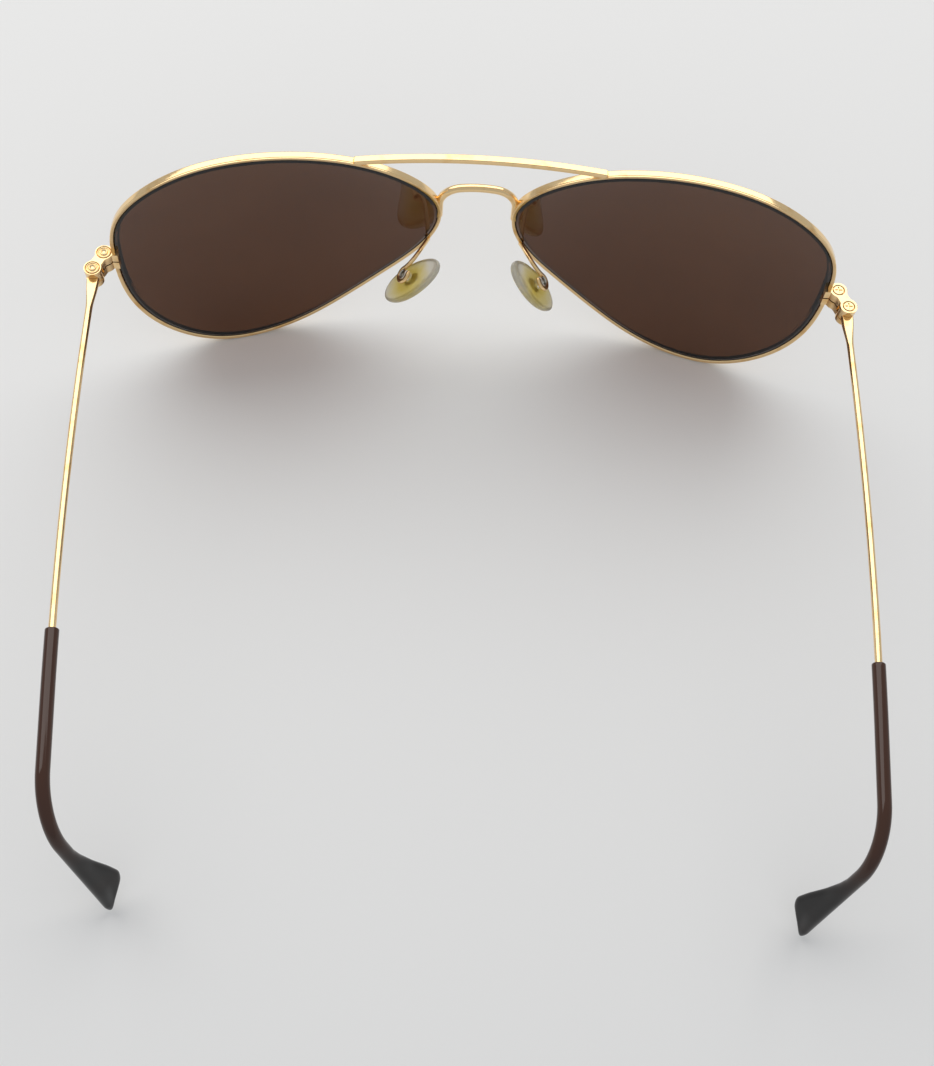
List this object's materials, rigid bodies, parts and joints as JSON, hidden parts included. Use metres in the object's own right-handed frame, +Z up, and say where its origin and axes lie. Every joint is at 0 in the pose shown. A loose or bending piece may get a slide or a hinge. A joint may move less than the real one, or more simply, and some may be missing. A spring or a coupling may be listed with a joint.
{
  "type": "aviator sunglasses",
  "caption": "Wire-frame aviator sunglasses with double bridge, tinted lenses, rocking nose pads and folding temples with hooked sleeves.",
  "frame": {"origin": "middle of the footprint, on the surface that the rims and the temple tips stand on", "axes": "+X to the wearer's left, -Y the way the wearer looks, +Z up"},
  "size_m": [0.1406, 0.1254, 0.0513],
  "materials": {
    "gold_metal": "polished pale gold plate",
    "screw_metal": "polished pale gold plate, worn slots",
    "brown_lens": "dark brown see-through tint",
    "tip_plastic": "glossy dark brown acetate",
    "pad_plastic": "translucent, yellowed",
    "pad_metal": "polished"
  },
  "bodies": {
    "front": {"brow_bar": "gold_metal", "bridge": "gold_metal", "left_rim": "gold_metal", "left_lens": "brown_lens", "left_upper_hinge_block": "gold_metal", "left_lower_hinge_block": "gold_metal", "left_lock_screw": "screw_metal", "left_hinge_screw": "screw_metal", "left_pad_arm": "gold_metal", "left_pad_cup": "pad_metal", "left_pad_screw": "pad_metal", "right_rim": "gold_metal", "right_lens": "brown_lens", "right_upper_hinge_block": "gold_metal", "right_lower_hinge_block": "gold_metal", "right_lock_screw": "screw_metal", "right_hinge_screw": "screw_metal", "right_pad_arm": "gold_metal", "right_pad_cup": "pad_metal", "right_pad_screw": "pad_metal"},
    "left_temple": {"left_temple": "gold_metal", "left_temple_tip": "tip_plastic"},
    "left_pad": {"left_nose_pad": "pad_plastic", "left_pad_core": "pad_metal"},
    "right_temple": {"right_temple": "gold_metal", "right_temple_tip": "tip_plastic"},
    "right_pad": {"right_nose_pad": "pad_plastic", "right_pad_core": "pad_metal"}
  },
  "joints": [
    {"name": "left_temple_fold", "type": "hinge", "parent": "front", "child": "left_temple", "pos_m": [0.06875, -0.04524, 0.03024], "axis": [0, 0, 1], "range_deg": [0, 85]},
    {"name": "left_pad_rock", "type": "hinge", "parent": "front", "child": "left_pad", "pos_m": [0.0124, -0.05205, 0.02504], "axis": [0.0593, -0.9954, -0.0759], "range_deg": [-8, 8]},
    {"name": "right_temple_fold", "type": "hinge", "parent": "front", "child": "right_temple", "pos_m": [-0.06875, -0.04524, 0.03024], "axis": [0, 0, -1], "range_deg": [0, 76]},
    {"name": "right_pad_rock", "type": "hinge", "parent": "front", "child": "right_pad", "pos_m": [-0.0124, -0.05205, 0.02504], "axis": [-0.0593, -0.9954, -0.0759], "range_deg": [-8, 8]}
  ]
}
